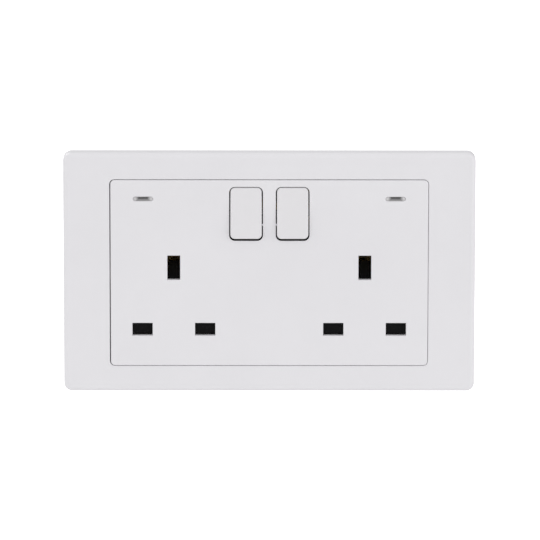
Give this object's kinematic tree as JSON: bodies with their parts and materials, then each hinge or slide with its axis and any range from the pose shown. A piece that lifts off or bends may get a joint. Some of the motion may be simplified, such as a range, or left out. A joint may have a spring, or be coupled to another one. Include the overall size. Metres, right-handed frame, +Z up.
{
  "type": "twin switched socket outlet",
  "caption": "Flush white twin wall socket for flat three-pin plugs, with rocker switches, lamp windows, shutters and a push-fit surround.",
  "frame": {"origin": "on the wall plane, midway between the two wall screw slots", "axes": "+X to the right and +Z up, seen from the room; -Y out of the wall, towards the room"},
  "size_m": [0.146, 0.0302, 0.086],
  "materials": {
    "frame_plastic": "satin moulded white",
    "panel_plastic": "satin moulded white",
    "rocker_plastic": "satin moulded white",
    "housing_plastic": "fine matt moulded white",
    "cover_plastic": "fine matt moulded black",
    "shutter_plastic": "matt black",
    "plunger_plastic": "natural nylon",
    "mark_plastic": "red",
    "brass": "stamped strip",
    "terminal_brass": "machined",
    "plated_steel": "zinc plated",
    "spring_steel": "bright wire",
    "window_plastic": "clear moulded plastic, slightly smoked",
    "lamp_glass": "red tinted",
    "board": "phenolic board",
    "resistor": "painted",
    "neutral_wire": "blue sleeving",
    "live_wire": "brown sleeving"
  },
  "bodies": {
    "housing": {"rear_housing": "housing_plastic", "socket_panel": "panel_plastic", "contact_cover": "cover_plastic", "neutral_contact": "brass", "live_busbar": "brass", "earth_strap": "brass", "neutral_terminal": "terminal_brass", "earth_terminal": "terminal_brass", "live_terminal": "terminal_brass", "terminal_screws": "plated_steel", "assembly_screws": "plated_steel", "left_live_contact": "brass", "left_lamp_window": "window_plastic", "left_lamp": "lamp_glass", "left_lamp_board": "board", "left_lamp_resistor": "resistor", "left_lamp_neutral_wire": "neutral_wire", "left_lamp_live_wire": "live_wire", "left_shutter_spring": "spring_steel", "right_live_contact": "brass", "right_lamp_window": "window_plastic", "right_lamp": "lamp_glass", "right_lamp_board": "board", "right_lamp_resistor": "resistor", "right_lamp_neutral_wire": "neutral_wire", "right_lamp_live_wire": "live_wire", "right_shutter_spring": "spring_steel"},
    "surround_frame": {"surround_frame": "frame_plastic"},
    "left_rocker": {"left_rocker": "rocker_plastic", "left_on_mark": "mark_plastic", "left_plunger_spring": "spring_steel"},
    "left_plunger": {"left_plunger": "plunger_plastic"},
    "left_moving_contact": {"left_moving_contact": "brass"},
    "left_shutter": {"left_shutter": "shutter_plastic"},
    "right_rocker": {"right_rocker": "rocker_plastic", "right_on_mark": "mark_plastic", "right_plunger_spring": "spring_steel"},
    "right_plunger": {"right_plunger": "plunger_plastic"},
    "right_moving_contact": {"right_moving_contact": "brass"},
    "right_shutter": {"right_shutter": "shutter_plastic"}
  },
  "joints": [
    {"name": "frame_pull", "type": "slide", "parent": "housing", "child": "surround_frame", "axis": [0, -1, 0], "range_m": [0, 0.02]},
    {"name": "left_switch", "type": "hinge", "parent": "housing", "child": "left_rocker", "pos_m": [-0.00824, -0.0047, 0.0213], "axis": [1, 0, 0], "range_deg": [0, 14]},
    {"name": "left_plunger_slide", "type": "slide", "parent": "left_rocker", "child": "left_plunger", "axis": [0, -0.9925, 0.1219], "range_m": [0, 0.0008], "stiffness_N_per_m": 500, "springref_m": -0.002, "deforming": ["left_plunger_spring"]},
    {"name": "left_contact_tilt", "type": "hinge", "parent": "housing", "child": "left_moving_contact", "pos_m": [-0.00824, 0.0057, 0.0213], "axis": [1, 0, 0], "range_deg": [-24, 0]},
    {"name": "left_shutter_slide", "type": "slide", "parent": "housing", "child": "left_shutter", "axis": [0, 0, -1], "range_m": [0, 0.0054], "stiffness_N_per_m": 120, "springref_m": -0.004, "deforming": ["left_shutter_spring"]},
    {"name": "right_switch", "type": "hinge", "parent": "housing", "child": "right_rocker", "pos_m": [0.00824, -0.0047, 0.0213], "axis": [1, 0, 0], "range_deg": [0, 14]},
    {"name": "right_plunger_slide", "type": "slide", "parent": "right_rocker", "child": "right_plunger", "axis": [0, -0.9925, 0.1219], "range_m": [0, 0.0008], "stiffness_N_per_m": 500, "springref_m": -0.002, "deforming": ["right_plunger_spring"]},
    {"name": "right_contact_tilt", "type": "hinge", "parent": "housing", "child": "right_moving_contact", "pos_m": [0.00824, 0.0057, 0.0213], "axis": [1, 0, 0], "range_deg": [-24, 0]},
    {"name": "right_shutter_slide", "type": "slide", "parent": "housing", "child": "right_shutter", "axis": [0, 0, -1], "range_m": [0, 0.0054], "stiffness_N_per_m": 120, "springref_m": -0.004, "deforming": ["right_shutter_spring"]}
  ],
  "couplings": [
    {"joint": "left_contact_tilt", "follows": "left_switch", "ratio": -1.714},
    {"joint": "right_contact_tilt", "follows": "right_switch", "ratio": -1.714}
  ]
}
